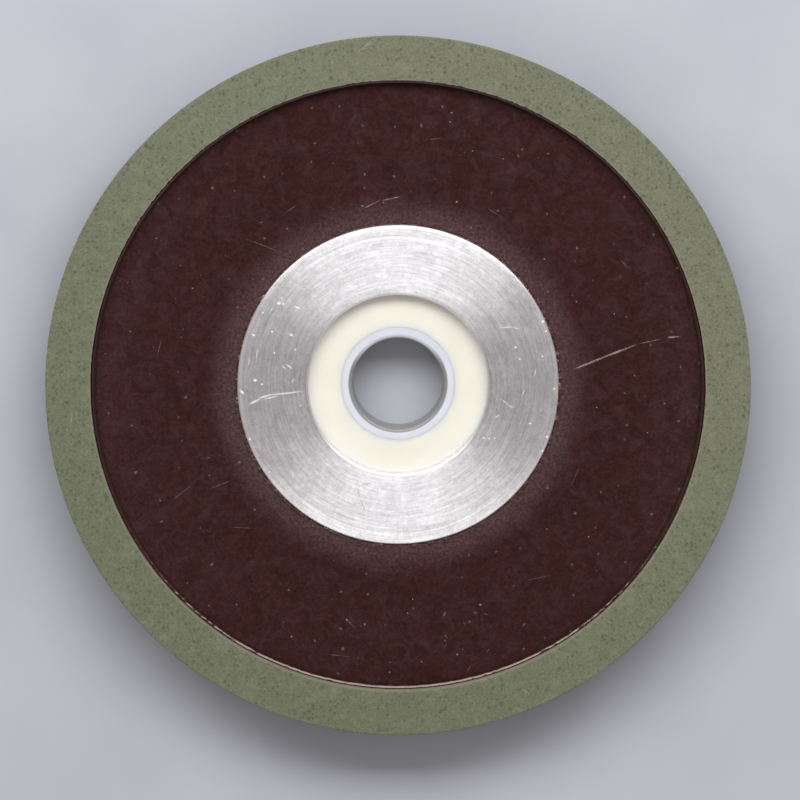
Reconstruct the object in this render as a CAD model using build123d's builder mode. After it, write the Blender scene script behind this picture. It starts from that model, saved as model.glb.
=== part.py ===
import os
from math import radians, tan

from build123d import *

os.makedirs("parts", exist_ok=True)

# A resin-bonded diamond grinding wheel with its abrasive ring on the front face and a tapered back.
# It lies with the abrasive up. The origin is the middle of the bore on the back face, and +Z is the axis.
# Sizes are in millimetres.

# Wheel
wheel_diameter = 125.0
wheel_thickness = 10.0  # from the back face to the abrasive's face
recess_depth = 2.0  # from the abrasive's face down to the moulded floor
back_land_width = 6.5  # flat ring round the hub on the back, before the taper
body_edge = 1.5  # moulding left behind the rim at the outer edge
body_edge_fillet = 0.4
side_relief = 11.0  # degrees that the outer side leans in behind the face, so only the abrasive's edge rubs

# Abrasive rim and the layer behind it
rim_width = 8.0
rim_depth = 2.0  # usable diamond layer
rim_edge_radius = 0.2  # edges eased by dressing
rim_land = 0.3  # full-width band at the outer edge, before the side leans in
backing_depth = 1.0  # layer without diamond that ties the rim to the body

# Moulded bead just inside the rim
bead_gap = 0.12
bead_width = 0.57
bead_height = 0.2

# Aluminium hub
hub_wall = 12.5  # from the hub's bore to its outside
hub_proud = 0.4  # hub face above the moulded floor
hub_front_chamfer = 0.2
hub_back_chamfer = 0.3
hub_bore_chamfer = 0.3

# Rib that anchors the hub in the moulding, notched to carry the torque
anchor_depth = 1.6
anchor_thickness = 2.4
anchor_level = 3.0
notch_count = 8
notch_width = 4.0

# Loose rings that bring the hub's bore down to the spindle: a bush in the hub and a sleeve in the bush.
# Each wall runs from its own bore to the next bore out, and slide_clearance comes off the ring itself.
spindle_bore = 16.0
sleeve_wall = 2.0
bush_wall = 6.0
slide_clearance = 0.03  # radial
bush_thickness = 6.5
bush_chamfer = 0.3
sleeve_thickness = 6.5
sleeve_chamfer = 0.2
sleeve_lip_radius = 0.9
lip_share_of_wall = 0.5  # the rounded lips never take more of the sleeve's wall than this

# Radii and levels that follow
wheel_radius = wheel_diameter / 2
seat_radius = wheel_radius - rim_width
spindle_radius = spindle_bore / 2
bush_bore_radius = spindle_radius + sleeve_wall
hub_bore_radius = bush_bore_radius + bush_wall
hub_radius = hub_bore_radius + hub_wall
back_land_radius = hub_radius + back_land_width
anchor_radius = hub_radius + anchor_depth
sleeve_radius = bush_bore_radius - slide_clearance
bush_radius = hub_bore_radius - slide_clearance
sleeve_lip = min(sleeve_lip_radius, lip_share_of_wall * (sleeve_radius - spindle_radius))
floor_level = wheel_thickness - recess_depth
rim_level = wheel_thickness - rim_depth
seat_level = rim_level - backing_depth
edge_level = seat_level - body_edge
hub_thickness = floor_level + hub_proud
land_level = wheel_thickness - rim_land
side_lean = tan(radians(side_relief))
rim_back_radius = wheel_radius - (land_level - rim_level) * side_lean
seat_outer_radius = wheel_radius - (land_level - seat_level) * side_lean
body_edge_radius = wheel_radius - (land_level - edge_level) * side_lean

# Turned aluminium hub, with the notched rib that the moulding grips
with BuildPart() as hub:
    with BuildSketch():
        Circle(hub_radius)
        Circle(hub_bore_radius, mode=Mode.SUBTRACT)
    extrude(amount=hub_thickness)
    rounds = hub.edges().filter_by(GeomType.CIRCLE)
    front_rounds = rounds.group_by(Axis.Z)[-1].sort_by(SortBy.RADIUS)
    back_rounds = rounds.group_by(Axis.Z)[0].sort_by(SortBy.RADIUS)
    chamfer([front_rounds[0], back_rounds[0]], length=hub_bore_chamfer)
    chamfer(front_rounds[-1], length=hub_front_chamfer)
    chamfer(back_rounds[-1], length=hub_back_chamfer)
    with BuildSketch(Plane.XY.offset(anchor_level)):
        Circle(anchor_radius)
        Circle(hub_bore_radius, mode=Mode.SUBTRACT)
        with PolarLocations(hub_radius + anchor_depth / 2, notch_count):
            Rectangle(2 * anchor_depth, notch_width, mode=Mode.SUBTRACT)
    extrude(amount=anchor_thickness)

# Moulded phenolic body: flat floor in front, seat for the rim, land and taper at the back
with BuildPart() as wheel_body:
    with BuildSketch(Plane.XZ):
        with BuildLine():
            Polyline(
                (hub_radius, 0),
                (back_land_radius, 0),
                (body_edge_radius, edge_level),
                (seat_outer_radius, seat_level),
                (seat_radius, seat_level),
                (seat_radius, floor_level),
                (hub_radius, floor_level),
                close=True,
            )
        make_face()
    revolve(axis=Axis.Z)
    outer_rounds = wheel_body.edges().filter_by(GeomType.CIRCLE).sort_by(SortBy.RADIUS)[-2:]
    fillet(outer_rounds.sort_by(Axis.Z)[0], radius=body_edge_fillet)
    # the low bead that the mould leaves at the foot of the rim
    bead_outer = seat_radius - bead_gap
    bead_inner = bead_outer - bead_width
    with BuildSketch(Plane.XZ):
        with BuildLine():
            crown = ThreePointArc(
                (bead_inner, floor_level),
                ((bead_inner + bead_outer) / 2, floor_level + bead_height),
                (bead_outer, floor_level),
            )
            Line(crown @ 1, crown @ 0)
        make_face()
    revolve(axis=Axis.Z)
    # the moulding flows round the hub's rib and into its notches
    add(hub.part, mode=Mode.SUBTRACT)

# Layer without diamond between the body and the abrasive
with BuildPart() as backing_ring:
    with BuildSketch(Plane.XZ):
        with BuildLine():
            Polyline(
                (seat_radius, seat_level),
                (seat_outer_radius, seat_level),
                (rim_back_radius, rim_level),
                (seat_radius, rim_level),
                close=True,
            )
        make_face()
    revolve(axis=Axis.Z)

# Diamond and resin ring that does the grinding
with BuildPart() as abrasive_rim:
    with BuildSketch(Plane.XZ):
        with BuildLine():
            Polyline(
                (seat_radius, rim_level),
                (rim_back_radius, rim_level),
                (wheel_radius, land_level),
                (wheel_radius, wheel_thickness),
                (seat_radius, wheel_thickness),
                close=True,
            )
        make_face()
    revolve(axis=Axis.Z)
    fillet(abrasive_rim.faces().sort_by(Axis.Z)[-1].edges(), radius=rim_edge_radius)

# Plastic bush that brings the hub's bore down to a smaller spindle
with BuildPart() as reducing_bush:
    with BuildSketch():
        Circle(bush_radius)
        Circle(bush_bore_radius, mode=Mode.SUBTRACT)
    extrude(amount=bush_thickness)
    chamfer(reducing_bush.edges().filter_by(GeomType.CIRCLE), length=bush_chamfer)

# Thin inner sleeve for the smallest spindle, with rounded lips on its bore
with BuildPart() as inner_sleeve:
    with BuildSketch():
        Circle(sleeve_radius)
        Circle(spindle_radius, mode=Mode.SUBTRACT)
    extrude(amount=sleeve_thickness)
    sleeve_rounds = inner_sleeve.edges().filter_by(GeomType.CIRCLE).group_by(SortBy.RADIUS)
    chamfer(sleeve_rounds[-1], length=sleeve_chamfer)
    fillet(sleeve_rounds[0], radius=sleeve_lip)

hub.part.label = "hub"
wheel_body.part.label = "wheel_body"
backing_ring.part.label = "backing_ring"
abrasive_rim.part.label = "abrasive_rim"
reducing_bush.part.label = "reducing_bush"
inner_sleeve.part.label = "inner_sleeve"

export_step(hub.part, "parts/hub.step")
export_step(wheel_body.part, "parts/wheel_body.step")
export_step(backing_ring.part, "parts/backing_ring.step")
export_step(abrasive_rim.part, "parts/abrasive_rim.step")
export_step(reducing_bush.part, "parts/reducing_bush.step")
export_step(inner_sleeve.part, "parts/inner_sleeve.step")
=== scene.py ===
import math

import bmesh
import bpy
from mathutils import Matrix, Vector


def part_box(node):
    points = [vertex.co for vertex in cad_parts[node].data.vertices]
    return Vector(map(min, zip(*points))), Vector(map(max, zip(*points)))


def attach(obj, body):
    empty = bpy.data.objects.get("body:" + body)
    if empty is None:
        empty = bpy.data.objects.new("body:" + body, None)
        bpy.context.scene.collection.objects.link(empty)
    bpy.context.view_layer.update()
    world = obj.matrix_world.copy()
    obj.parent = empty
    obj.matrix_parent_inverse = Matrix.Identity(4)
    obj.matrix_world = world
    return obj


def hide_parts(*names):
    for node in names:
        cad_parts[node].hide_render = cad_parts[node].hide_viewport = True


# A resin-bonded diamond grinding wheel, abrasive side up, with its hub and the two loose rings in its bore.
# All is in metres in the CAD's frame: the wheel's axis is Z and its back face is at zero.

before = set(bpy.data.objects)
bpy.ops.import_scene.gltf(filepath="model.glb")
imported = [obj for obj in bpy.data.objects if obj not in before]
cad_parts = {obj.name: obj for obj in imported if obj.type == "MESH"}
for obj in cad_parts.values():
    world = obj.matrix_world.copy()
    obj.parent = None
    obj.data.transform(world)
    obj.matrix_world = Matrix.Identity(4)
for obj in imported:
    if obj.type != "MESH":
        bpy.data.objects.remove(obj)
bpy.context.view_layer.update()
scene = bpy.context.scene
mm = 0.001
creaseAngle = math.radians(30)  # edges sharper than this stay crisp


# small helpers for making and finishing pieces

def pickOnly(piece):
    bpy.ops.object.select_all(action="DESELECT")
    piece.select_set(True)
    bpy.context.view_layer.objects.active = piece


def turnRing(name, profile, segments):
    # like turning on a lathe: a circle is drawn out along the section, (radius, height) in millimetres, and
    # closed on itself
    bpy.ops.object.select_all(action="DESELECT")
    radius, height = profile[0]
    bpy.ops.mesh.primitive_circle_add(vertices=segments, radius=radius * mm, fill_type="NOTHING",
        location=(0, 0, height * mm))
    ring = bpy.context.object
    ring.name = name
    ring.data.name = name
    bpy.ops.object.transform_apply(location=True, rotation=True, scale=True)
    bpy.ops.object.mode_set(mode="EDIT")
    bpy.ops.mesh.select_mode(type="VERT")
    bpy.ops.mesh.select_all(action="SELECT")
    for nextRadius, nextHeight in profile[1:] + profile[:1]:
        bpy.ops.mesh.extrude_region_move(TRANSFORM_OT_translate={"value": (0, 0, (nextHeight - height) * mm)})
        growth = nextRadius / radius
        bpy.ops.transform.resize(value=(growth, growth, 1), center_override=(0, 0, 0))
        radius, height = nextRadius, nextHeight
    bpy.ops.mesh.select_all(action="SELECT")
    bpy.ops.mesh.remove_doubles(threshold=0.0005 * mm)
    bpy.ops.mesh.normals_make_consistent(inside=False)
    bpy.ops.object.mode_set(mode="OBJECT")
    return ring


def roundCorners(piece, corners, width, steps):
    # rounds the ring edges that stand at these (radius, height) places
    pickOnly(piece)
    bpy.ops.object.mode_set(mode="EDIT")
    bpy.ops.mesh.select_mode(type="EDGE")
    bpy.ops.mesh.select_all(action="DESELECT")
    grid = bmesh.from_edit_mesh(piece.data)
    for edge in grid.edges:
        ends = [(math.hypot(v.co.x, v.co.y) / mm, v.co.z / mm) for v in edge.verts]
        for radius, height in corners:
            if all(abs(end[0] - radius) < 0.01 and abs(end[1] - height) < 0.01 for end in ends):
                edge.select_set(True)
    bmesh.update_edit_mesh(piece.data)
    bpy.ops.mesh.bevel(offset=width * mm, segments=steps, profile=0.5, affect="EDGES")
    bpy.ops.object.mode_set(mode="OBJECT")


def nibble(piece, name, weightOf, depth, grain, start, end, direction="NORMAL"):
    # eats into the surface in patches of that grain in millimetres, or with a direction of "Z" raises it
    # instead
    pickOnly(piece)
    group = piece.vertex_groups.new(name=name)
    for vertex in piece.data.vertices:
        weight = weightOf(math.hypot(vertex.co.x, vertex.co.y) / mm, vertex.co.z / mm,
            math.atan2(vertex.co.y, vertex.co.x))
        if weight > 0:
            group.add([vertex.index], min(weight, 1), "REPLACE")
    clouds = bpy.data.textures.new(name, "CLOUDS")
    clouds.noise_scale = grain * mm
    clouds.noise_depth = 2
    clouds.use_color_ramp = True
    for stop, place, level in zip(clouds.color_ramp.elements, (start, end), (0, 1)):
        stop.position = place
        stop.color = (level, level, level, 1)
    bpy.ops.object.modifier_add(type="DISPLACE")
    displace = piece.modifiers[-1]
    displace.texture = clouds
    displace.texture_coords = "LOCAL"
    displace.vertex_group = group.name
    displace.strength = depth * mm
    displace.mid_level = 0 if direction == "Z" else 1
    displace.direction = direction
    bpy.ops.object.modifier_apply(modifier=displace.name)
    piece.vertex_groups.remove(piece.vertex_groups[name])


def finishPiece(piece, material, body, node):
    pickOnly(piece)
    bpy.ops.object.shade_smooth_by_angle(angle=creaseAngle)
    piece.data.materials.clear()
    piece.data.materials.append(material)
    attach(piece, body)
    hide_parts(node)


def toLinear(hexColour):
    # an sRGB hex colour, such as "c0ffee", as the linear red, green, blue and alpha that a socket takes
    parts = [int(hexColour[i:i + 2], 16) / 255 for i in (0, 2, 4)]
    return [p / 12.92 if p <= 0.04045 else ((p + 0.055) / 1.055) ** 2.4 for p in parts] + [1.0]


def feed(tree, node, values={}, links={}):
    # sets a node's sockets, and links what feeds them
    for key, value in values.items():
        node.inputs[key].default_value = value
    for key, source in links.items():
        tree.links.new(source, node.inputs[key])


def addNode(tree, kind, settings={}, values={}, links={}):
    # a shader node with its settings, its socket values and what feeds it; "stops" are a ramp's (place, colour)
    # pairs
    made = tree.nodes.new("ShaderNode" + kind)
    for key, value in settings.items():
        if key != "stops":
            setattr(made, key, value)
    for place, colour in settings.get("stops", []):
        stop = made.color_ramp.elements.new(place)
        stop.color = colour
    if "stops" in settings:
        made.color_ramp.elements.remove(made.color_ramp.elements[0])
        made.color_ramp.elements.remove(made.color_ramp.elements[-1])
    feed(tree, made, values, links)
    return made


def fromAxis(tree, place):
    # the place laid flat on the wheel's plane, and its distance from the axis
    flat = addNode(tree, "VectorMath", {"operation": "MULTIPLY"}, {1: (1, 1, 0)}, {0: place}).outputs[0]
    return flat, addNode(tree, "VectorMath", {"operation": "LENGTH"}, links={0: flat}).outputs["Value"]


def scratchMask(tree, place, level, marks):
    # thin tapered marks on the face at that level, each (x, y, length, width, degrees) in millimetres, 1 along
    # their middles
    mask = None
    for x, y, length, width, turn in marks:
        lay = addNode(tree, "Mapping", {"vector_type": "TEXTURE"},
            {"Location": (x * mm, y * mm, level * mm), "Rotation": (0, 0, math.radians(turn)),
            "Scale": (length / 2 * mm, width / 2 * mm, mm)},
            {"Vector": place})
        mark = addNode(tree, "TexGradient", {"gradient_type": "SPHERICAL"}, {}, {"Vector": lay.outputs[0]})
        if mask:
            mark = addNode(tree, "Math", {"operation": "MAXIMUM"}, {}, {0: mask, 1: mark.outputs["Fac"]})
        mask = mark.outputs[0] if mask else mark.outputs["Fac"]
    return mask


def newMaterial(name):
    material = bpy.data.materials.new(name)
    material.use_nodes = True
    tree = material.node_tree
    for old in list(tree.nodes):
        tree.nodes.remove(old)
    shader = addNode(tree, "BsdfPrincipled")
    addNode(tree, "OutputMaterial", links={"Surface": shader.outputs["BSDF"]})
    place = addNode(tree, "TexCoord").outputs["Object"]
    return material, tree, shader, place


viewer = {"sensor": 36, "distance": 4500, "tiltDegrees": 7.5, "aimX": 0.35, "aimY": -2.5, "aimZ": 10,
    "fieldMillimetres": 141.7}

cameraData = bpy.data.cameras.new("viewer")
cameraData.sensor_width = viewer["sensor"]
cameraData.lens = viewer["sensor"] * viewer["distance"] / viewer["fieldMillimetres"]
cameraData.clip_start = 0.05
camera = bpy.data.objects.new("viewer", cameraData)
scene.collection.objects.link(camera)
tilt = math.radians(viewer["tiltDegrees"])
camera.location = (
    viewer["aimX"] * mm,
    (viewer["aimY"] + viewer["distance"] * math.sin(tilt)) * mm,
    (viewer["aimZ"] + viewer["distance"] * math.cos(tilt)) * mm,
)
camera.rotation_euler = (-tilt, 0, 0)
scene.camera = camera
scene.view_settings.view_transform = "Standard"

# widths, heights and distances in millimetres, angles in degrees
windowLight = {"power": 11.3, "wide": 1560, "high": 330, "distance": 800, "elevation": 45, "azimuth": 90,
    "colour": (0.975, 0.985, 1.0)}
wallReturn = {"power": 1.1, "wide": 1500, "high": 800, "distance": 900, "elevation": 38, "azimuth": 270,
    "colour": (1.0, 0.99, 0.98)}
roomFill = {"strength": 0.42, "colour": (1.0, 0.93, 0.935, 1.0)}


def softLight(name, settings):
    lamp = bpy.data.lights.new(name, "AREA")
    lamp.shape = "RECTANGLE"
    lamp.size = settings["wide"] * mm
    lamp.size_y = settings["high"] * mm
    lamp.energy = settings["power"]
    lamp.color = settings["colour"]
    distance = settings["distance"]
    up, around = math.radians(settings["elevation"]), math.radians(settings["azimuth"])
    holder = bpy.data.objects.new(name, lamp)
    scene.collection.objects.link(holder)
    holder.location = (
        distance * mm * math.cos(up) * math.cos(around),
        distance * mm * math.cos(up) * math.sin(around),
        distance * mm * math.sin(up),
    )
    holder.rotation_euler = (math.radians(90) - up, 0, around + math.radians(90))


softLight("windowLight", windowLight)
softLight("wallReturn", wallReturn)

room = bpy.data.worlds.new("paleRoom")
room.use_nodes = True
feed(room.node_tree, room.node_tree.nodes["Background"],
    {"Color": roomFill["colour"], "Strength": roomFill["strength"]})
scene.world = room

# a plain pale bench top, in metres, a hair below the wheel
benchSize, benchGap = 4, 0.02 * mm
bpy.ops.object.select_all(action="DESELECT")
bpy.ops.mesh.primitive_plane_add(size=benchSize, location=(0, 0, -benchGap))
benchTop = bpy.context.object
benchTop.name = "benchTop"
bpy.ops.object.transform_apply(location=True, rotation=True, scale=True)
benchPaint, tree, shader, place = newMaterial("paintedBoard")
patchy = addNode(tree, "TexNoise", {}, {"Scale": 1 / (30 * mm), "Detail": 4.0}, {"Vector": place})
paint = addNode(tree, "ValToRGB", {"stops": [(0.3, toLinear("a7aab2")), (0.7, toLinear("afb2b9"))]},
    links={"Fac": patchy.outputs[0]})
roller = addNode(tree, "TexNoise", {}, {"Scale": 1 / (1.2 * mm), "Detail": 2.0}, {"Vector": place})
stipple = addNode(tree, "Bump", {}, {"Strength": 0.2, "Distance": 0.03 * mm}, {"Height": roller.outputs[0]})
feed(tree, shader, {"Roughness": 0.7}, {"Base Color": paint.outputs[0], "Normal": stipple.outputs[0]})
benchTop.data.materials.append(benchPaint)
print("camera, light and bench are set")


sideLean = math.tan(math.radians(11))  # how far the wheel's outer side leans in behind its edge
rimWidth = 8.0

rimLow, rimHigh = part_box("abrasive_rim")
diamondRing = {
    "outer": min(-rimLow.x, rimHigh.x, -rimLow.y, rimHigh.y) / mm,
    "width": rimWidth,
    "top": rimHigh.z / mm,
    "bottom": rimLow.z / mm,
    "edgeRound": 0.11,
    "land": 0.3,
    # loops of edges: up the inner wall, out from it, in from the outer edge, and up the side
    "wallLoops": (0.7, 1.4),
    "faceLoops": (0.35, 0.6, 1.0, 2.5, 4.0, 5.5),
    "edgeLoops": (1.0, 0.6, 0.35, 0),
    "sideLoops": (1.0, 0.5, 0),
    "segments": 1200,
    "chipDepth": 0.13,
    "chipGrain": 0.7,
    "chipReach": 0.5,
    "chipDrop": 0.9,
    # pale scuffs: x, y, length, width and degrees
    "scuffs": [
        (-5.8, 60.6, 5.5, 0.35, 40), (39.6, 45.4, 2.2, 0.3, 62), (-57.9, -6.2, 2.4, 0.28, 80),
        (22.5, -54.6, 2.8, 0.3, -25),
    ],
}


def makeDiamondRing(size):
    outer, top, bottom = size["outer"], size["top"], size["bottom"]
    inner = outer - size["width"]
    profile = [(inner, bottom)] + [(inner, bottom + step) for step in size["wallLoops"]] + [(inner, top)]
    profile += [(inner + step, top) for step in size["faceLoops"]]
    profile += [(outer - step, top) for step in size["edgeLoops"]]
    landLevel = top - size["land"]
    levels = [landLevel] + [bottom + step for step in size["sideLoops"]]
    profile += [(outer - (landLevel - level) * sideLean, level) for level in levels]
    ring = turnRing("diamondRing", profile, size["segments"])
    roundCorners(ring, [(inner, top), (outer, top)], size["edgeRound"], 3)

    def nearEdges(radius, height, angle):
        if height < top - size["chipDrop"]:
            return 0
        return max(0, 1 - abs(radius - inner) / size["chipReach"])

    nibble(ring, "edgeChips", nearEdges, size["chipDepth"], size["chipGrain"], 0.3, 0.5)
    return ring


def makeDiamondMaterial(size):
    # resin-bonded diamond, dressed with a stone: olive grey, dead matt, fine grit with darker pores and a paler
    # worn edge
    material, tree, shader, place = newMaterial("resinBondDiamond")
    inner, outer = (size["outer"] - size["width"]) * mm, size["outer"] * mm
    flat, radius = fromAxis(tree, place)
    # real grit is about 30 microns, so this one is over ten times coarser to show at all
    grit = addNode(tree, "TexNoise", {}, {"Scale": 1 / (0.38 * mm), "Detail": 3.0, "Roughness": 0.75},
        {"Vector": place})
    tone = addNode(tree, "ValToRGB", {"stops": [
        (0.25, toLinear("52573f")), (0.42, toLinear("636651")), (0.58, toLinear("6b6e59")),
        (0.75, toLinear("7f8269"))]},
        links={"Fac": grit.outputs[0]})
    # painted sheen: the ring is lighter and bluer towards the upper right, the side the light falls from
    across = addNode(tree, "VectorMath", {"operation": "DOT_PRODUCT"}, {1: (0.9, 0.95, 0)}, {0: place})
    sheenPlace = addNode(tree, "MapRange", {}, {"From Min": -outer, "From Max": outer},
        {"Value": across.outputs["Value"]})
    paintedSheenTone = addNode(tree, "ValToRGB",
        {"stops": [(0.0, (0.875, 0.92, 0.865, 1)), (1.0, (1.13, 1.155, 1.33, 1))]},
        links={"Fac": sheenPlace.outputs[0]})
    sheenPainted = addNode(tree, "VectorMath", {"operation": "MULTIPLY"},
        links={0: tone.outputs[0], 1: paintedSheenTone.outputs[0]})
    # paler clouds a millimetre or two across, where the resin is richer
    cloud = addNode(tree, "TexNoise", {},
        {"Scale": 1 / (2.2 * mm), "Detail": 4.0, "Roughness": 0.65, "Distortion": 0.6}, {"Vector": place})
    cloudMask = addNode(tree, "MapRange", {}, {"From Min": 0.52, "From Max": 0.7, "To Max": 0.3},
        {"Value": cloud.outputs[0]})
    clouded = addNode(tree, "Mix", {"data_type": "RGBA"}, {"B": toLinear("80836b")},
        {"Factor": cloudMask.outputs[0], "A": sheenPainted.outputs[0]})
    # pores that the dressing opened, ragged, each cell with its own size from none to 0.5 mm, and more of them
    # between the clouds
    warped = addNode(tree, "VectorMath", {"operation": "MULTIPLY_ADD"}, {1: (0.35 * mm, 0.35 * mm, 0)},
        {0: grit.outputs["Color"], 2: place})
    pores = addNode(tree, "TexVoronoi", {}, {"Scale": 1 / (0.78 * mm), "Randomness": 1.0},
        {"Vector": warped.outputs[0]})
    cellValue = addNode(tree, "SeparateXYZ", links={0: pores.outputs["Color"]})
    crowded = addNode(tree, "MapRange", {},
        {"From Min": 0.35, "From Max": 0.62, "To Min": -0.52, "To Max": -0.26}, {"Value": cloud.outputs[0]})
    poreEdge = addNode(tree, "Math", {"operation": "MULTIPLY_ADD"},
        links={0: cellValue.outputs[0], 1: crowded.outputs[0], 2: pores.outputs["Distance"]})
    poreMask = addNode(tree, "MapRange", {},
        {"From Min": -0.06, "From Max": 0.1, "To Min": 0.42, "To Max": 0.0}, {"Value": poreEdge.outputs[0]})
    pored = addNode(tree, "Mix", {"data_type": "RGBA"}, {"B": toLinear("393b30")},
        {"Factor": poreMask.outputs[0], "A": clouded.outputs["Result"]})
    # paler where the inner edge is rubbed, with a ragged border and gaps
    ragged = addNode(tree, "Math", {"operation": "MULTIPLY_ADD"}, {1: 0.8 * mm, 2: -0.34 * mm},
        {0: grit.outputs[0]})
    wander = addNode(tree, "Math", {"operation": "ADD"}, links={0: radius, 1: ragged.outputs[0]})
    rub = addNode(tree, "MapRange", {},
        {"From Min": inner + 0.1 * mm, "From Max": inner + 0.4 * mm, "To Min": 0.7, "To Max": 0.0},
        {"Value": wander.outputs[0]})
    # the rubbed edge's colour takes the same painted sheen, lighter and bluer towards the upper right
    rubTone = addNode(tree, "VectorMath", {"operation": "MULTIPLY"}, {1: toLinear("897e71")[:3]},
        {0: paintedSheenTone.outputs[0]})
    rubbed = addNode(tree, "Mix", {"data_type": "RGBA"},
        links={"Factor": rub.outputs[0], "A": pored.outputs["Result"], "B": rubTone.outputs[0]})
    scuffs = scratchMask(tree, place, size["top"], size["scuffs"])
    patchy = addNode(tree, "MapRange", {}, {"From Min": 0.4, "From Max": 0.65, "To Min": 0.15},
        {"Value": cloud.outputs[0]})
    spotty = addNode(tree, "Math", {"operation": "MULTIPLY"}, links={0: scuffs, 1: patchy.outputs[0]})
    scuffed = addNode(tree, "Mix", {"data_type": "RGBA"}, {"B": toLinear("92937f")},
        {"Factor": spotty.outputs[0], "A": rubbed.outputs["Result"]})
    bump = addNode(tree, "Bump", {}, {"Strength": 0.6, "Distance": 0.04 * mm}, {"Height": grit.outputs[0]})
    feed(tree, shader, {"Roughness": 0.72, "Specular IOR Level": 0.35},
        {"Base Color": scuffed.outputs["Result"], "Normal": bump.outputs[0]})
    return material


ring = makeDiamondRing(diamondRing)
finishPiece(ring, makeDiamondMaterial(diamondRing), "wheel", "abrasive_rim")
print("diamond ring is made")


backLow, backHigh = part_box("backing_ring")
plainLayer = {
    "outer": backHigh.x / mm,
    "width": rimWidth,
    "top": backHigh.z / mm,
    "bottom": backLow.z / mm,
    "edgeReach": 0.4,
    # the side, with a fine seam where it meets the ring above and the moulding below: how far down and how far
    # in
    "seam": 0.04,
    "seams": [(0, 0.04), (0.12, 0.04), (0.2, 0), (0.5, 0), (0.85, 0), (0.92, 0.04)],
    "segments": 720,
    "raggedDepth": 0.06,
    "raggedGrain": 1.4,
}


def makePlainLayer(size):
    outer, top, bottom = size["outer"], size["top"], size["bottom"]
    inner = outer - size["width"]
    profile = [(inner, bottom), (inner, top), (outer - size["edgeReach"], top)]
    seams = size["seams"] + [(top - bottom, size["seam"])]
    profile += [(outer - down * sideLean - into, top - down) for down, into in seams]
    layer = turnRing("plainLayer", profile, size["segments"])

    def onSide(radius, height, angle):
        return 1 if radius > outer - size["edgeReach"] else 0

    nibble(layer, "layerEdge", onSide, size["raggedDepth"], size["raggedGrain"], 0.3, 0.6)
    return layer


def makePlainLayerMaterial():
    # the same resin without diamond, filled with abrasive dust: grey green, flat and a little chalky
    material, tree, shader, place = newMaterial("filledResinLayer")
    cloud = addNode(tree, "TexNoise", {}, {"Scale": 1 / (1.2 * mm), "Detail": 4.0}, {"Vector": place})
    tone = addNode(tree, "ValToRGB", {"stops": [(0.3, toLinear("3e3a31")), (0.7, toLinear("565144"))]},
        links={"Fac": cloud.outputs[0]})
    bump = addNode(tree, "Bump", {}, {"Strength": 0.4, "Distance": 0.05 * mm}, {"Height": cloud.outputs[0]})
    feed(tree, shader, {"Roughness": 0.65}, {"Base Color": tone.outputs[0], "Normal": bump.outputs[0]})
    return material


layer = makePlainLayer(plainLayer)
finishPiece(layer, makePlainLayerMaterial(), "wheel", "backing_ring")
print("layer behind the diamond is made")


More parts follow.
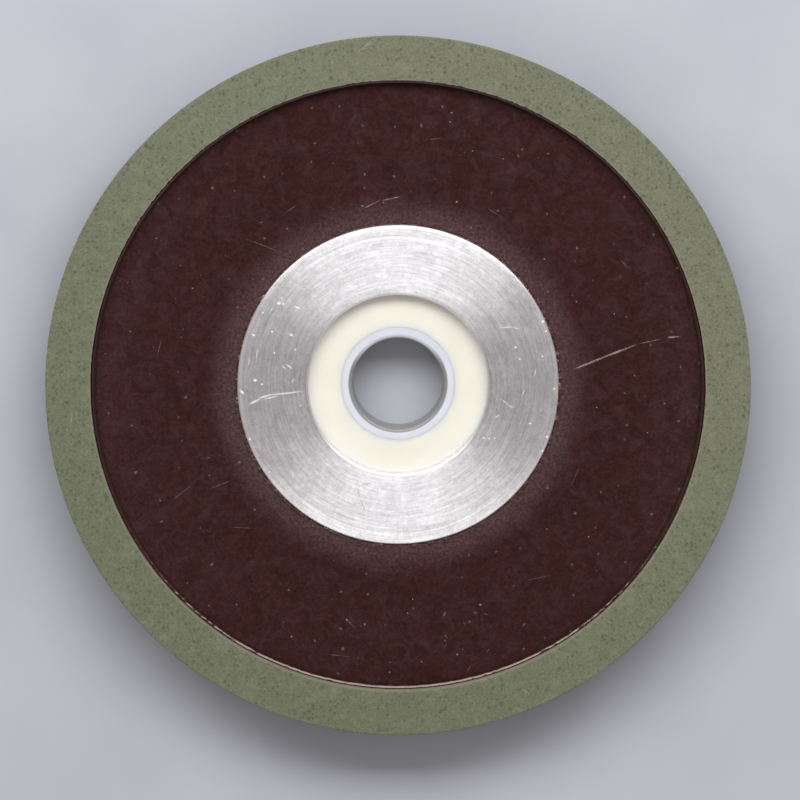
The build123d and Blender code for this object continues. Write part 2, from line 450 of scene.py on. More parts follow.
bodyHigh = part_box("wheel_body")[1]
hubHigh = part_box("hub")[1]
mouldedBody = {
    "outer": bodyHigh.x / mm,
    "hubRadius": 28.5,
    "seatRadius": rimHigh.x / mm - rimWidth,
    "floor": rimLow.z / mm,
    "seat": backLow.z / mm,
    "edge": 5.5,
    "backLand": 35.0,
    "edgeRound": 0.8,
    "landRound": 1.2,
    # loops of edges on the tapered back and on the floor
    "backLoops": (42, 50, 58),
    "floorLoops": (53.2, 52, 50, 47, 44, 41, 38, 35, 32.5, 30.5, 29.6, 29.2, 29.0),
    # a shrinkage groove against the hub, and the lip that crept over the hub's chamfer: radius and depth
    "groove": [
        (28.88, 0.05), (28.76, 0.18), (28.64, 0.22), (28.52, 0.2), (28.4, 0.18), (28.28, 0.2), (28.16, 0.25),
    ],
    "grooveFoot": 0.4,
    "segments": 1200,
    "beadOut": 54.45,
    "beadCrest": 54.28,
    "beadIn": 53.88,
    "beadHigh": bodyHigh.z / mm - rimLow.z / mm,
    # up the steep outer side: how far in and what share of the height, then shares of the way down the inner
    # side
    "beadRise": [(0, 0), (0.03, 0.6), (0.09, 0.92)],
    "beadFall": (0, 0.12, 0.25, 0.4, 0.6, 0.8, 1),
    "beadBend": 1.06,
    "waveDepth": 0.04,
    "waveGrain": 0.9,
    "notches": 8,
    "notchWidth": 4.0,
    "ribLow": 3.0,
    "ribHigh": 5.4,
    "ribDepth": 1.6,
    "flashHigh": 0.5,
    "flashGrain": 1.7,
    "flashOut": 29.25,
    "flashBand": 0.3,
    "skinOut": 28.7,
    # hair scratches that show pale: x, y, length, width and degrees
    "scratches": [
        (34.4, 4.05, 8.6, 0.44, 22), (38.9, 5.85, 8.4, 0.46, 21), (48.8, 8.5, 2.8, 0.4, 6),
        (44.6, 7.7, 4.6, 0.14, 12), (-1.2, 33.2, 3.8, 0.3, 12), (-4.6, 32.2, 3.6, 0.26, 27),
    ],
    # and fainter ones, where things only brushed it
    "faintScratches": [
        (-31.5, -17.9, 4.6, 0.2, 22), (-24.3, 25.0, 9.5, 0.16, -21), (-27.6, -25.6, 5.4, 0.16, -3),
        (-19, 31.3, 3.2, 0.18, 35), (17.2, 30.6, 3.6, 0.16, -32), (31.4, -16.5, 4.4, 0.16, 68),
        (24.8, -34.6, 5.2, 0.15, 12), (-8.6, -42.6, 4.0, 0.14, -45), (-42.3, 6.6, 3.6, 0.16, 76),
        (40.1, 21.5, 3.4, 0.16, -48), (-38.4, -19.4, 5.4, 0.16, 38), (6.3, 43.8, 4.2, 0.16, 8),
        (13.6, -40.8, 1.2, 0.24, -25), (15.6, -41.1, 1.0, 0.24, -10), (11.8, -42.8, 1.4, 0.2, -60),
        (8.6, -45.2, 1.2, 0.2, -50), (8.4, -46.7, 1.2, 0.2, 50), (12.5, -51.0, 2.0, 0.18, 60),
        (16.0, -47.5, 1.4, 0.2, 50), (-10.5, -48.5, 5.2, 0.13, -6),
    ],
    # dust and chips that show as pale dots
    "specks": [
        (-6.3, 31.9, 0.45, 0.4, 0), (-2.6, 32.5, 0.35, 0.3, 0), (10.4, 32.6, 0.5, 0.45, 0),
        (9.5, 48.5, 0.4, 0.35, 0), (9.2, 46.9, 0.35, 0.3, 0), (-5.9, 37.6, 0.35, 0.3, 0),
        (13.2, 41.7, 0.3, 0.3, 0), (18.6, 40.3, 0.3, 0.25, 0), (-18.9, -45.1, 0.4, 0.35, 0),
        (25.9, 22.4, 0.35, 0.3, 0), (-36.4, 17.2, 0.35, 0.3, 0), (33.8, -27.2, 0.35, 0.3, 0),
        (-25.4, -22.4, 0.4, 0.3, 0), (2.6, -38.4, 0.3, 0.3, 0), (44.2, -8.6, 0.3, 0.3, 0),
        (35.2, -4.1, 0.35, 0.3, 0), (41.9, 1.6, 0.3, 0.3, 0), (47.2, -3.4, 0.35, 0.3, 0),
        (38.3, 12.6, 0.3, 0.3, 0), (31.6, 14.8, 0.35, 0.3, 0), (14.6, -39.4, 0.6, 0.45, -20),
        (10.5, -48.3, 0.5, 0.35, -30), (-9.1, -42.1, 0.45, 0.4, 0), (-5.9, -42.9, 0.5, 0.3, -70),
        (1.7, -40.9, 0.35, 0.3, 0), (8.3, -40.9, 0.35, 0.3, 0), (4.2, -49.6, 0.3, 0.3, 0),
        (-1.5, -51.5, 0.35, 0.3, 0),
    ],
}


def inNotch(x, y, size):
    # whether a place lies in one of the notches that are spaced evenly round the hub's rib
    step = 2 * math.pi / size["notches"]
    angle = math.atan2(y, x)
    off = angle - step * round(angle / step)
    return abs(math.hypot(x, y) * math.sin(off)) < size["notchWidth"] / 2 * mm


def pushRib(piece, size):
    # the band of wall between the rib's levels moves out to the rib's depth, except in the notches
    pickOnly(piece)
    bpy.ops.object.mode_set(mode="EDIT")
    bpy.ops.mesh.select_mode(type="FACE")
    bpy.ops.mesh.select_all(action="DESELECT")
    grid = bmesh.from_edit_mesh(piece.data)
    for face in grid.faces:
        middle = face.calc_center_median()
        onWall = abs(math.hypot(middle.x, middle.y) / mm - size["hubRadius"]) < 0.01
        if onWall and size["ribLow"] < middle.z / mm < size["ribHigh"] and not inNotch(middle.x, middle.y,
            size):
            face.select_set(True)
    bmesh.update_edit_mesh(piece.data)
    bpy.ops.mesh.extrude_region_move(TRANSFORM_OT_translate={"value": (0, 0, 0)})
    growth = (size["hubRadius"] + size["ribDepth"]) / size["hubRadius"]
    bpy.ops.transform.resize(value=(growth, growth, 1), center_override=(0, 0, 0))
    bpy.ops.object.mode_set(mode="OBJECT")


def makeMouldedBody(size):
    hub, seatRadius, outer, floor = size["hubRadius"], size["seatRadius"], size["outer"], size["floor"]
    edgeRadius = outer - (size["seat"] - size["edge"]) * sideLean
    slope = size["edge"] / (edgeRadius - size["backLand"])
    profile = [(hub, floor - size["grooveFoot"]), (hub, size["ribHigh"]), (hub, size["ribLow"]), (hub, 0),
        (size["backLand"], 0)]
    profile += [(radius, slope * (radius - size["backLand"])) for radius in size["backLoops"]]
    profile += [(edgeRadius, size["edge"]), (outer, size["seat"]), (seatRadius, size["seat"]),
        (seatRadius, floor)]
    # the bead is steep towards the wall and falls gently inwards
    crest, fall, high = size["beadCrest"], size["beadCrest"] - size["beadIn"], size["beadHigh"]
    profile += [(size["beadOut"] - into, floor + share * high) for into, share in size["beadRise"]]
    profile += [(crest - fall * step,
        floor + high * (1 - step ** size["beadBend"])) for step in size["beadFall"]]
    profile += [(radius, floor) for radius in size["floorLoops"]]
    profile += [(radius, floor - down) for radius, down in size["groove"]]
    body = turnRing("mouldedBody", profile, size["segments"])
    roundCorners(body, [(edgeRadius, size["edge"])], size["edgeRound"], 4)
    roundCorners(body, [(size["backLand"], 0)], size["landRound"], 3)
    pushRib(body, size)

    def byHub(radius, height, angle):
        # moulding that crept up the hub's edge, most on the right and the lower left
        if height < floor - size["flashBand"] or radius > size["flashOut"]:
            return 0
        right, lowerLeft = math.cos(angle + 0.15), 0.8 * math.cos(angle - math.radians(205))
        return (0.35 + 0.65 * max(0, right, lowerLeft)) * min(1, (size["flashOut"] - radius) / 0.5)

    nibble(body, "hubFlash", byHub, size["flashHigh"], size["flashGrain"], 0.42, 0.62, "Z")

    def onBead(radius, height, angle):
        return 1 if size["beadIn"] < radius < size["beadOut"] - 0.01 and height > floor + 0.01 else 0

    nibble(body, "beadWaves", onBead, size["waveDepth"], size["waveGrain"], 0.3, 0.7)
    return body


def makeMouldedMaterial(size):
    # wood-filled phenolic, compression moulded: very dark red brown, satin, finely mottled, dusty and lightly
    # scuffed
    material, tree, shader, place = newMaterial("phenolicMoulding")
    flat, radius = fromAxis(tree, place)
    filler = addNode(tree, "TexNoise", {}, {"Scale": 1 / (0.7 * mm), "Detail": 4.0, "Roughness": 0.7},
        {"Vector": place})
    tone = addNode(tree, "ValToRGB", {"stops": [
        (0.3, toLinear("200a07")), (0.47, toLinear("29100c")), (0.6, toLinear("30140f")),
        (0.75, toLinear("40221c"))]},
        links={"Fac": filler.outputs[0]})
    # faint patches a few millimetres across, redder where the resin gathered
    patches = addNode(tree, "TexNoise", {}, {"Scale": 1 / (9 * mm), "Detail": 3.0, "Roughness": 0.6},
        {"Vector": place})
    patchMask = addNode(tree, "MapRange", {}, {"From Min": 0.42, "From Max": 0.66, "To Max": 0.3},
        {"Value": patches.outputs[0]})
    patched = addNode(tree, "Mix", {"data_type": "RGBA"}, {"B": toLinear("30120d")},
        {"Factor": patchMask.outputs[0], "A": tone.outputs[0]})
    # redder grains of filler, about half a millimetre
    grains = addNode(tree, "TexVoronoi", {}, {"Scale": 1 / (1.5 * mm), "Randomness": 1.0}, {"Vector": place})
    grainMask = addNode(tree, "MapRange", {},
        {"From Min": 0.08, "From Max": 0.22, "To Min": 0.11, "To Max": 0.0},
        {"Value": grains.outputs["Distance"]})
    grained = addNode(tree, "Mix", {"data_type": "RGBA"}, {"B": toLinear("42211f")},
        {"Factor": grainMask.outputs[0], "A": patched.outputs["Result"]})
    # grey dust in wisps, thicker against the hub, where it lies as fine speckle
    wisp = addNode(tree, "TexNoise", {},
        {"Scale": 1 / (3 * mm), "Detail": 8.0, "Roughness": 0.85, "Distortion": 0.8}, {"Vector": place})
    wispMask = addNode(tree, "MapRange", {}, {"From Min": 0.45, "From Max": 0.8, "To Max": 0.14},
        {"Value": wisp.outputs[0]})
    hubDust = addNode(tree, "MapRange", {"interpolation_type": "SMOOTHERSTEP"},
        {"From Min": size["hubRadius"] * mm, "From Max": (size["hubRadius"] + 7) * mm, "To Min": 0.34,
        "To Max": 0.03},
        {"Value": radius})
    dustGrain = addNode(tree, "TexNoise", {}, {"Scale": 1 / (0.5 * mm), "Detail": 3.0, "Roughness": 0.65},
        {"Vector": place})
    speckle = addNode(tree, "MapRange", {}, {"From Min": 0.4, "From Max": 0.7, "To Min": 0.3},
        {"Value": dustGrain.outputs[0]})
    # and a little along the foot of the rim, to the left and right
    heading = addNode(tree, "VectorMath", {"operation": "NORMALIZE"}, links={0: flat})
    facing = addNode(tree, "VectorMath", {"operation": "ABSOLUTE"}, links={0: heading.outputs[0]})
    sideways = addNode(tree, "SeparateXYZ", links={0: facing.outputs[0]})
    sidePart = addNode(tree, "MapRange", {}, {"From Min": 0.7, "From Max": 1.0, "To Max": 0.05},
        {"Value": sideways.outputs[0]})
    rimPart = addNode(tree, "MapRange", {}, {"From Min": 44 * mm, "From Max": 51 * mm}, {"Value": radius})
    rimDust = addNode(tree, "Math", {"operation": "MULTIPLY"},
        links={0: sidePart.outputs[0], 1: rimPart.outputs[0]})
    bothDusts = addNode(tree, "Math", {"operation": "ADD"},
        links={0: hubDust.outputs[0], 1: rimDust.outputs[0]})
    uneven = addNode(tree, "Math", {"operation": "MULTIPLY"},
        links={0: bothDusts.outputs[0], 1: speckle.outputs[0]})
    unevenMore = addNode(tree, "Math", {"operation": "ADD"},
        links={0: uneven.outputs[0], 1: wispMask.outputs[0]})
    dusty = addNode(tree, "Mix", {"data_type": "RGBA"}, {"B": toLinear("7d686c")},
        {"Factor": unevenMore.outputs[0], "A": grained.outputs["Result"]})
    # a clean dark line along the foot of the bead, and lint on the front alone
    height = addNode(tree, "SeparateXYZ", links={0: place})
    front = addNode(tree, "MapRange", {},
        {"From Min": (size["floor"] - 0.5) * mm, "From Max": (size["floor"] - 0.2) * mm},
        {"Value": height.outputs[2]})
    foot = addNode(tree, "MapRange", {"interpolation_type": "SMOOTHSTEP"},
        {"From Min": (size["beadIn"] - 0.65) * mm, "From Max": (size["beadIn"] - 0.2) * mm, "To Max": 0.5},
        {"Value": radius})
    frontFoot = addNode(tree, "Math", {"operation": "MULTIPLY"},
        links={0: foot.outputs[0], 1: front.outputs[0]})
    footed = addNode(tree, "Mix", {"data_type": "RGBA"}, {"B": toLinear("1c0603")},
        {"Factor": frontFoot.outputs[0], "A": dusty.outputs["Result"]})
    # hair scratches broken up by the grain, and a few specks of dust
    scratches = scratchMask(tree, place, size["floor"], size["scratches"])
    broken = addNode(tree, "MapRange", {}, {"From Min": 0.4, "From Max": 0.6, "To Min": 0.25, "To Max": 0.85},
        {"Value": filler.outputs[0]})
    blunt = addNode(tree, "MapRange", {}, {"From Min": 0.05, "From Max": 0.45}, {"Value": scratches})
    faintMask = scratchMask(tree, place, size["floor"], size["faintScratches"])
    faint = addNode(tree, "MapRange", {}, {"From Min": 0.05, "From Max": 0.6, "To Max": 0.45},
        {"Value": faintMask})
    marked = addNode(tree, "Math", {"operation": "MAXIMUM"}, links={0: blunt.outputs[0], 1: faint.outputs[0]})
    hair = addNode(tree, "Math", {"operation": "MULTIPLY"}, links={0: marked.outputs[0], 1: broken.outputs[0]})
    specks = scratchMask(tree, place, size["floor"], size["specks"])
    lintPlace = addNode(tree, "VectorMath", {"operation": "MULTIPLY_ADD"}, {1: (0.9 * mm, 0.9 * mm, 0)},
        {0: dustGrain.outputs["Color"], 2: place})
    lint = addNode(tree, "TexVoronoi", {"voronoi_dimensions": "2D"},
        {"Scale": 1 / (4.6 * mm), "Randomness": 1.0}, {"Vector": lintPlace.outputs[0]})
    lintValue = addNode(tree, "SeparateXYZ", links={0: lint.outputs["Color"]})
    lintEdge = addNode(tree, "Math", {"operation": "MULTIPLY_ADD"}, {1: -0.065},
        {0: lintValue.outputs[0], 2: lint.outputs["Distance"]})
    lintMask = addNode(tree, "MapRange", {}, {"From Min": -0.06, "From Max": 0.0, "To Min": 0.4, "To Max": 0.0},
        {"Value": lintEdge.outputs[0]})
    frontLint = addNode(tree, "Math", {"operation": "MULTIPLY"},
        links={0: lintMask.outputs[0], 1: front.outputs[0]})
    dots = addNode(tree, "Math", {"operation": "MAXIMUM"}, links={0: frontLint.outputs[0], 1: specks})
    pale = addNode(tree, "Math", {"operation": "MAXIMUM"}, links={0: hair.outputs[0], 1: dots.outputs[0]})
    scuffed = addNode(tree, "Mix", {"data_type": "RGBA"}, {"B": toLinear("9d8a82")},
        {"Factor": pale.outputs[0], "A": footed.outputs["Result"]})
    rough = addNode(tree, "MapRange", {}, {"From Min": 0.3, "From Max": 0.7, "To Min": 0.42, "To Max": 0.58},
        {"Value": wisp.outputs[0]})
    bump = addNode(tree, "Bump", {}, {"Strength": 0.35, "Distance": 0.04 * mm}, {"Height": filler.outputs[0]})
    feed(tree, shader, {"Specular IOR Level": 0.09},
        {"Base Color": scuffed.outputs["Result"], "Roughness": rough.outputs[0], "Normal": bump.outputs[0]})
    return material


def makeFlashMaterial():
    # resin-rich skin of the same moulding, on the bead and the flash: brown, glossy, with tan crumbs where it
    # chipped
    material, tree, shader, place = newMaterial("phenolicResinSkin")
    crumbs = addNode(tree, "TexNoise", {}, {"Scale": 1 / (0.55 * mm), "Detail": 3.0, "Roughness": 0.6},
        {"Vector": place})
    tone = addNode(tree, "ValToRGB", {"stops": [
        (0.3, toLinear("2a1210")), (0.56, toLinear("3b1e19")), (0.66, toLinear("6b4a3c")),
        (0.78, toLinear("a08368"))]},
        links={"Fac": crumbs.outputs[0]})
    bump = addNode(tree, "Bump", {}, {"Strength": 0.5, "Distance": 0.05 * mm}, {"Height": crumbs.outputs[0]})
    feed(tree, shader, {"Roughness": 0.3}, {"Base Color": tone.outputs[0], "Normal": bump.outputs[0]})
    return material


def makeBeadMaterial():
    # the same moulding pressed against polished steel at the foot of the rim: dark red brown, with a hard
    # narrow shine
    material, tree, shader, place = newMaterial("polishedPhenolic")
    rubs = addNode(tree, "TexNoise", {}, {"Scale": 1 / (1.1 * mm), "Detail": 3.0, "Roughness": 0.6},
        {"Vector": place})
    tone = addNode(tree, "ValToRGB", {"stops": [(0.35, toLinear("180806")), (0.7, toLinear("2c120c"))]},
        links={"Fac": rubs.outputs[0]})
    rough = addNode(tree, "MapRange", {}, {"From Min": 0.35, "From Max": 0.7, "To Min": 0.1, "To Max": 0.26},
        {"Value": rubs.outputs[0]})
    bump = addNode(tree, "Bump", {}, {"Strength": 0.3, "Distance": 0.05 * mm}, {"Height": rubs.outputs[0]})
    feed(tree, shader, {"Specular Tint": (1.0, 0.78, 0.71, 1.0), "Specular IOR Level": 0.72},
        {"Base Color": tone.outputs[0], "Roughness": rough.outputs[0], "Normal": bump.outputs[0]})
    return material


body = makeMouldedBody(mouldedBody)
finishPiece(body, makeMouldedMaterial(mouldedBody), "wheel", "wheel_body")
body.data.materials.append(makeFlashMaterial())
body.data.materials.append(makeBeadMaterial())
for face in body.data.polygons:
    distance, level = math.hypot(face.center.x, face.center.y) / mm, face.center.z / mm
    onBead = mouldedBody["beadIn"] < distance < mouldedBody["beadOut"] and level > mouldedBody["floor"]
    onFlash = distance < mouldedBody["skinOut"] and level > mouldedBody["floor"] - mouldedBody["flashBand"]
    if onBead:
        face.material_index = 2
    elif onFlash:
        face.material_index = 1
print("moulded body is made")


turnedHub = {
    "radius": mouldedBody["hubRadius"],
    "bore": 16.0,
    "top": hubHigh.z / mm,
    "edgeIn": 0.18,
    "edgeDown": 0.2,
    "backChamfer": 0.3,
    "boreChamfer": 0.3,
    "cornerRound": 0.06,
    # loops of edges: one in the bore, those on the face inside and outside the tool's last line, and one on the
    # back
    "boreLoop": 4,
    "innerLoops": (18, 20, 22, 24, 25.5),
    "outerLoops": (27.4, 27.85),
    "backLoop": 22,
    "segments": 720,
    "lineRadius": 26.55,
    "lineWidth": 0.18,
    "lineDepth": 0.015,
    # nicks that scatter the light: x, y, length, width and degrees
    "nicks": [
        (-21.1, 14.6, 0.9, 0.7, 20), (-20.3, 14.5, 0.6, 0.5, 0), (-20.6, 15.5, 0.5, 0.4, 0),
        (-17.8, 13.8, 1.5, 0.4, -22), (-18.9, 8.9, 0.9, 0.6, -20), (-25.6, 8.9, 1.0, 0.5, -30),
        (-25.3, 0.8, 0.9, 0.7, -10), (-27.6, -1.3, 1.3, 0.6, -48), (-22.3, 9.5, 0.6, 0.45, 15),
        (-24.1, 0.1, 0.55, 0.5, 0), (-23.9, 12.9, 0.6, 0.4, 40), (-17.3, -3.7, 0.4, 0.35, 0),
        (-26.3, -9.7, 0.6, 0.5, 0), (15.2, -9.5, 0.6, 0.4, 0), (16.2, -9.6, 0.5, 0.4, 0),
        (17.1, -9.5, 0.5, 0.4, 0), (26.4, -9.3, 0.7, 0.5, 60), (25.6, -11.8, 0.6, 0.45, 60),
        (27.7, -0.7, 0.6, 0.45, 0), (25.7, 11.3, 0.8, 0.5, 60), (26.2, 9.6, 0.6, 0.4, 20),
        (25.6, 5.1, 0.5, 0.4, 0), (20.8, 6.7, 0.6, 0.5, 0), (21.6, 4.6, 0.5, 0.4, 0),
        (-22.8, -15.6, 0.5, 0.4, 30), (23.4, -6.9, 0.6, 0.4, 10), (-21.9, 5.7, 0.5, 0.4, 70),
        (-18.2, 6.3, 0.45, 0.4, 0),
    ],
    "scratches": [
        (-25.4, -3.0, 3.0, 0.62, 26), (-23.4, -2.0, 3.6, 0.5, 16), (-19.8, -1.5, 8.0, 0.42, 7),
        (-22.6, -2.3, 3.0, 0.35, 12), (-19.3, 3.3, 1.9, 0.4, -38), (-20.2, 3.1, 1.4, 0.28, -45),
        (-16.8, 17.1, 1.3, 0.3, -25), (17.6, -5.6, 1.4, 0.3, 38), (18.9, -3.0, 2.0, 0.26, -35),
        (20.0, -3.9, 1.6, 0.26, -22), (10.9, -24.0, 2.2, 0.22, -65), (19.2, 10.3, 3.6, 0.26, 3),
        (20.9, 10.1, 1.7, 0.24, -14), (-14.2, 21.1, 0.9, 0.26, 50), (-26.4, 4.2, 2.2, 0.2, 82),
        (-25.0, 5.6, 3.0, 0.18, 86), (-22.4, 13.4, 2.0, 0.2, 60), (-18.6, 0.8, 1.5, 0.2, 60),
        (24.3, 2.2, 2.0, 0.2, 80), (22.2, -1.4, 1.8, 0.2, 64),
    ],
    "darkLines": [
        (-5.4, -17.7, 3.4, 0.34, 14), (-6.95, -19.2, 2.6, 0.34, -80), (-6.25, -21.5, 3.0, 0.3, -68),
        (-12.2, -21.0, 6.6, 0.18, -28), (-9.8, -23.4, 7.2, 0.18, -21), (3.6, -22.9, 5.6, 0.18, 8),
        (12.6, -19.8, 4.8, 0.18, 32),
    ],
}


def makeTurnedHub(size, rib):
    radius, bore, top = size["radius"], size["bore"], size["top"]
    chamfer, edgeIn, edgeDown = size["boreChamfer"], size["edgeIn"], size["edgeDown"]
    profile = [(bore, chamfer), (bore, size["boreLoop"]), (bore, top - chamfer), (bore + chamfer, top)]
    profile += [(loop, top) for loop in size["innerLoops"]]
    line, half = size["lineRadius"], size["lineWidth"] / 2
    profile += [(line - half, top), (line, top - size["lineDepth"]), (line + half, top)]
    profile += [(loop, top) for loop in size["outerLoops"]] + [(radius - edgeIn, top), (radius, top - edgeDown)]
    profile += [(radius, rib["ribHigh"]), (radius, rib["ribLow"]), (radius, size["backChamfer"])]
    profile += [(radius - size["backChamfer"], 0), (size["backLoop"], 0), (bore + chamfer, 0)]
    hub = turnRing("turnedHub", profile, size["segments"])
    roundCorners(hub, [(bore, top - chamfer), (bore + chamfer, top)], size["cornerRound"], 2)
    roundCorners(hub, [(radius - edgeIn, top), (radius, top - edgeDown)], size["cornerRound"], 2)
    pushRib(hub, rib)
    return hub


def makeTurnedMaterial(size):
    # aluminium faced on a lathe: fine concentric tool lines that draw the light into a bow tie, and a dull
    # handled bloom
    material, tree, shader, place = newMaterial("turnedAluminium")
    flat, radius = fromAxis(tree, place)
    heading = addNode(tree, "VectorMath", {"operation": "NORMALIZE"}, links={0: flat})
    # noise that runs along the tool's path: fast across the radius and slow round it
    alongTool = addNode(tree, "VectorMath", {"operation": "SCALE"}, {"Scale": 3.0}, {0: heading.outputs[0]})
    split = addNode(tree, "SeparateXYZ", links={0: alongTool.outputs[0]})
    # real feed marks are about 0.1 mm apart, so these are drawn at 0.4 mm to show
    across = addNode(tree, "Math", {"operation": "MULTIPLY"}, {1: 1 / (0.4 * mm)}, {0: radius})
    path = addNode(tree, "CombineXYZ", links={0: across.outputs[0], 1: split.outputs[0], 2: split.outputs[1]})
    toolLines = addNode(tree, "TexNoise", {}, {"Scale": 1.0, "Detail": 3.0, "Roughness": 0.75},
        {"Vector": path.outputs[0]})
    # rubbing and handling leave short curly marks under a millimetre long
    bloom = addNode(tree, "TexNoise", {},
        {"Scale": 1 / (0.9 * mm), "Detail": 5.0, "Roughness": 0.75, "Distortion": 1.2}, {"Vector": place})
    tone = addNode(tree, "ValToRGB", {"stops": [
        (0.3, toLinear("d6d4d6")), (0.43, toLinear("e5e4e5")), (0.55, toLinear("eeeeef")),
        (0.68, toLinear("f8f8fa"))]}, links={"Fac": bloom.outputs[0]})
    lined = addNode(tree, "MapRange", {}, {"From Min": 0.32, "From Max": 0.68, "To Min": 0.82, "To Max": 1.14},
        {"Value": toolLines.outputs[0]})
    # broad duller and brighter clouds from wiping, a few millimetres across
    wiped = addNode(tree, "TexNoise", {},
        {"Scale": 1 / (4 * mm), "Detail": 3.0, "Roughness": 0.6, "Distortion": 0.5}, {"Vector": place})
    wipedTone = addNode(tree, "MapRange", {},
        {"From Min": 0.35, "From Max": 0.65, "To Min": 0.93, "To Max": 1.05}, {"Value": wiped.outputs[0]})
    # the tool left a duller ring at the bore and a brighter band outside its last line
    bands = addNode(tree, "MapRange", {}, {"From Min": size["bore"] * mm, "From Max": size["radius"] * mm},
        {"Value": radius})
    bandTone = addNode(tree, "ValToRGB", {"stops": [
        (0.025, (0.82, 0.82, 0.82, 1)), (0.06, (0.99, 0.99, 0.99, 1)), (0.835, (1.0, 1.0, 1.0, 1)),
        (0.85, (1.03, 1.03, 1.03, 1)),
        (0.94, (1.03, 1.03, 1.03, 1)), (0.955, (1.15, 1.15, 1.15, 1))]}, links={"Fac": bands.outputs[0]})
    linedBands = addNode(tree, "Math", {"operation": "MULTIPLY"},
        links={0: lined.outputs[0], 1: bandTone.outputs[0]})
    clouded = addNode(tree, "Math", {"operation": "MULTIPLY"},
        links={0: linedBands.outputs[0], 1: wipedTone.outputs[0]})
    toned = addNode(tree, "VectorMath", {"operation": "SCALE"},
        links={0: tone.outputs[0], "Scale": clouded.outputs[0]})
    darkLines = scratchMask(tree, place, size["top"], size["darkLines"])
    darkPart = addNode(tree, "MapRange", {}, {"From Min": 0.1, "From Max": 0.7, "To Max": 0.45},
        {"Value": darkLines})
    darkened = addNode(tree, "Mix", {"data_type": "RGBA"}, {"B": toLinear("8f8d94")},
        {"Factor": darkPart.outputs[0], "A": toned.outputs[0]})
    # torn metal in the nicks scatters like white paint, the scratches less so
    nickMask = scratchMask(tree, place, size["top"], size["nicks"])
    nicks = addNode(tree, "MapRange", {}, {"From Min": 0.05, "From Max": 0.7, "To Max": 0.8},
        {"Value": nickMask})
    lineMask = scratchMask(tree, place, size["top"], size["scratches"])
    scratches = addNode(tree, "MapRange", {}, {"From Min": 0.05, "From Max": 0.7, "To Max": 0.6},
        {"Value": lineMask})
    torn = addNode(tree, "Math", {"operation": "MAXIMUM"}, links={0: nicks.outputs[0], 1: scratches.outputs[0]})
    worn = addNode(tree, "Mix", {"data_type": "RGBA"}, {"B": toLinear("fbf6f6")},
        {"Factor": torn.outputs[0], "A": darkened.outputs["Result"]})
    metallic = addNode(tree, "MapRange", {}, {"To Min": 1.0, "To Max": 0.1}, {"Value": torn.outputs[0]})
    rough = addNode(tree, "MapRange", {}, {"From Min": 0.3, "From Max": 0.7, "To Min": 0.47, "To Max": 0.53},
        {"Value": bloom.outputs[0]})
    lineBump = addNode(tree, "Bump", {}, {"Strength": 0.5, "Distance": 0.02 * mm},
        {"Height": toolLines.outputs[0]})
    bloomBump = addNode(tree, "Bump", {}, {"Strength": 0.38, "Distance": 0.05 * mm},
        {"Height": bloom.outputs[0], "Normal": lineBump.outputs[0]})
    roundTheAxis = addNode(tree, "Tangent", {"direction_type": "RADIAL", "axis": "Z"})
    feed(tree, shader, {"Anisotropic": 0.8, "Anisotropic Rotation": 0.25},
        {"Base Color": worn.outputs["Result"], "Metallic": metallic.outputs[0], "Roughness": rough.outputs[0],
        "Normal": bloomBump.outputs[0], "Tangent": roundTheAxis.outputs[0]})
    return material


def makeBoredMaterial():
    # the same aluminium in the bore and on its chamfers, cut finer: smooth and bright, with faint lines round
    # it
    material, tree, shader, place = newMaterial("boredAluminium")
    split = addNode(tree, "SeparateXYZ", links={0: place})
    # feed marks are drawn at 0.3 mm to show
    down = addNode(tree, "Math", {"operation": "MULTIPLY"}, {1: 1 / (0.3 * mm)}, {0: split.outputs[2]})
    path = addNode(tree, "CombineXYZ", links={2: down.outputs[0]})
    lines = addNode(tree, "TexNoise", {}, {"Scale": 1.0, "Detail": 2.0}, {"Vector": path.outputs[0]})
    tone = addNode(tree, "ValToRGB", {"stops": [(0.35, toLinear("dcdbdc")), (0.65, toLinear("f6f5f5"))]},
        links={"Fac": lines.outputs[0]})
    roundTheAxis = addNode(tree, "Tangent", {"direction_type": "RADIAL", "axis": "Z"})
    feed(tree, shader, {"Metallic": 1.0, "Roughness": 0.42, "Anisotropic": 0.7, "Anisotropic Rotation": 0.25},
        {"Base Color": tone.outputs[0], "Tangent": roundTheAxis.outputs[0]})
    return material


hub = makeTurnedHub(turnedHub, mouldedBody)
finishPiece(hub, makeTurnedMaterial(turnedHub), "wheel", "hub")
hub.data.materials.append(makeBoredMaterial())
for face in hub.data.polygons:
    if abs(face.normal.z) < 0.9:
        face.material_index = 1
print("hub is made")


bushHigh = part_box("reducing_bush")[1]
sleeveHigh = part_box("inner_sleeve")[1]
creamBush = {"outer": bushHigh.x / mm + 0.02, "inner": 10.0, "top": bushHigh.z / mm, "edge": 0.3,
    "cornerOut": 0.03, "cornerIn": 0.004, "loops": (0.2, 0.35, 0.5, 0.65, 0.8), "segments": 480}
paleSleeve = {"outer": sleeveHigh.x / mm + 0.025, "inner": 8.0, "top": sleeveHigh.z / mm, "edge": 0.004,
    "lip": 0.9, "segments": 480}


def makeCreamBush(size):
    outer, inner, top = size["outer"], size["inner"], size["top"]
    edge, out, into = size["edge"], size["cornerOut"], size["cornerIn"]
    profile = [(inner, edge), (inner, top / 2), (inner, top - into), (inner + into, top)]
    profile += [(inner + step * (outer - inner), top) for step in size["loops"]]
    profile += [(outer - out, top), (outer, top - out), (outer, edge), (outer - edge, 0), (inner + edge, 0)]
    return turnRing("creamBush", profile, size["segments"])


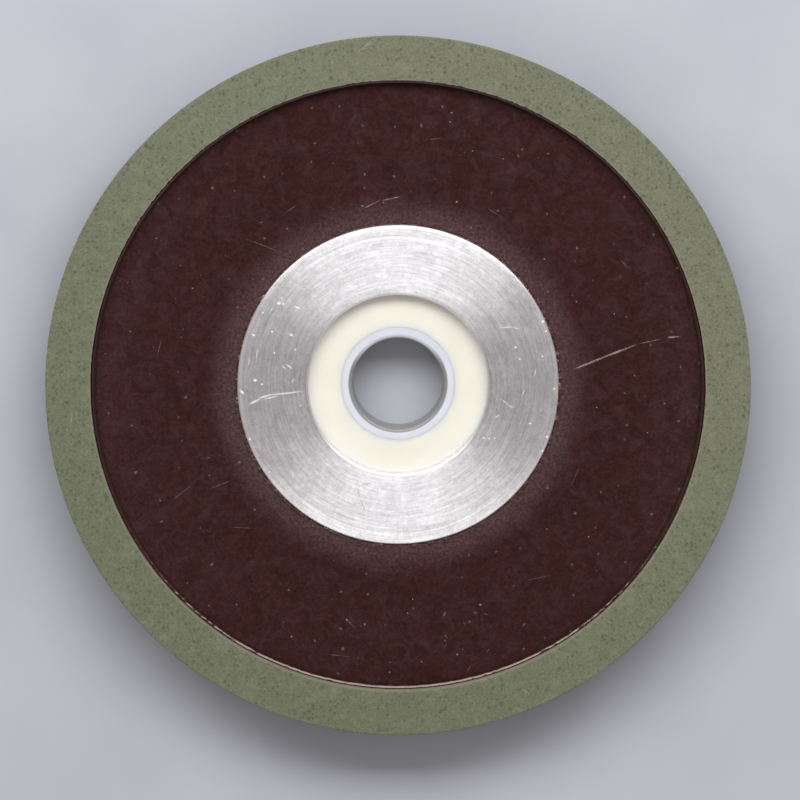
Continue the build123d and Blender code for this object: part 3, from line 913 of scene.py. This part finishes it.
def makeCreamMaterial():
    # nylon 6, injection moulded: cream, satin, light sinks a little way in and warms it
    material, tree, shader, place = newMaterial("nylonCream")
    cloud = addNode(tree, "TexNoise", {}, {"Scale": 1 / (7 * mm), "Detail": 3.0}, {"Vector": place})
    tone = addNode(tree, "ValToRGB", {"stops": [(0.35, toLinear("deddce")), (0.65, toLinear("e3e1d4"))]},
        links={"Fac": cloud.outputs[0]})
    skin = addNode(tree, "TexNoise", {}, {"Scale": 1 / (0.6 * mm), "Detail": 3.0}, {"Vector": place})
    bump = addNode(tree, "Bump", {}, {"Strength": 0.25, "Distance": 0.02 * mm}, {"Height": skin.outputs[0]})
    feed(tree, shader, {"Roughness": 0.42, "IOR": 1.53, "Subsurface Weight": 0.55,
        "Subsurface Radius": (1.0, 0.9, 0.4), "Subsurface Scale": 3 * mm},
        {"Base Color": tone.outputs[0], "Normal": bump.outputs[0]})
    return material


def makePaleSleeve(size):
    outer, inner, top, edge, lip = size["outer"], size["inner"], size["top"], size["edge"], size["lip"]
    arc = [math.radians(a) for a in range(0, 91, 10)]
    profile = [(inner + lip * (1 - math.cos(a)), top - lip + lip * math.sin(a)) for a in arc]
    profile += [(outer - edge, top), (outer, top - edge), (outer, edge), (outer - edge, 0)]
    profile += [(inner + lip * (1 - math.sin(a)), lip * (1 - math.cos(a))) for a in arc]
    return turnRing("paleSleeve", profile, size["segments"])


def makeSleeveMaterial(size):
    # natural polypropylene: milky with a cold cast and soft gloss, with painted shade in grey inside its lips
    # and on its bore's wall
    material, tree, shader, place = newMaterial("naturalPolypropylene")
    cloud = addNode(tree, "TexNoise", {}, {"Scale": 1 / (5 * mm), "Detail": 3.0}, {"Vector": place})
    tone = addNode(tree, "ValToRGB", {"stops": [(0.35, toLinear("c8ccd5")), (0.65, toLinear("d0d3db"))]},
        links={"Fac": cloud.outputs[0]})
    flat, radius = fromAxis(tree, place)
    # painted shade on the lip, fading out 0.9 mm from the bore
    lipShade = addNode(tree, "MapRange", {"interpolation_type": "SMOOTHSTEP"},
        {"From Min": (size["inner"] + 0.7) * mm, "From Max": (size["inner"] + 0.9) * mm, "To Min": 0.95,
        "To Max": 0.0},
        {"Value": radius})
    # painted shade: the lip is darkened except towards the top, and the bore's wall is darkened all round
    heading = addNode(tree, "VectorMath", {"operation": "NORMALIZE"}, links={0: flat})
    side = addNode(tree, "SeparateXYZ", links={0: heading.outputs[0]})
    lessOnTop = addNode(tree, "MapRange", {"interpolation_type": "SMOOTHSTEP"},
        {"From Min": 0.3, "From Max": 0.85, "To Min": 1.0, "To Max": 0.1}, {"Value": side.outputs[1]})
    paintedLipShade = addNode(tree, "Math", {"operation": "MULTIPLY"},
        links={0: lipShade.outputs[0], 1: lessOnTop.outputs[0]})
    wall = addNode(tree, "MapRange", {},
        {"From Min": (size["inner"] + 0.1) * mm, "From Max": (size["inner"] + 0.3) * mm, "To Min": 1.0,
        "To Max": 0.0},
        {"Value": radius})
    paintedShade = addNode(tree, "Math", {"operation": "MAXIMUM"}, links={0: paintedLipShade.outputs[0], 1: wall.outputs[0]})
    # the painted shade is mixed in as grey
    shadedTone = addNode(tree, "Mix", {"data_type": "RGBA"}, {"B": toLinear("7d7b79")},
        {"Factor": paintedShade.outputs[0], "A": tone.outputs[0]})
    skin = addNode(tree, "TexNoise", {}, {"Scale": 1 / (0.5 * mm), "Detail": 3.0}, {"Vector": place})
    bump = addNode(tree, "Bump", {}, {"Strength": 0.25, "Distance": 0.02 * mm}, {"Height": skin.outputs[0]})
    feed(tree, shader, {"Roughness": 0.35, "IOR": 1.49, "Subsurface Weight": 0.3,
        "Subsurface Radius": (0.9, 0.95, 1.0), "Subsurface Scale": 1.2 * mm},
        {"Base Color": shadedTone.outputs["Result"], "Normal": bump.outputs[0]})
    return material


bush = makeCreamBush(creamBush)
finishPiece(bush, makeCreamMaterial(), "bush", "reducing_bush")
sleeve = makePaleSleeve(paleSleeve)
finishPiece(sleeve, makeSleeveMaterial(paleSleeve), "sleeve", "inner_sleeve")
print("bush and sleeve are made")
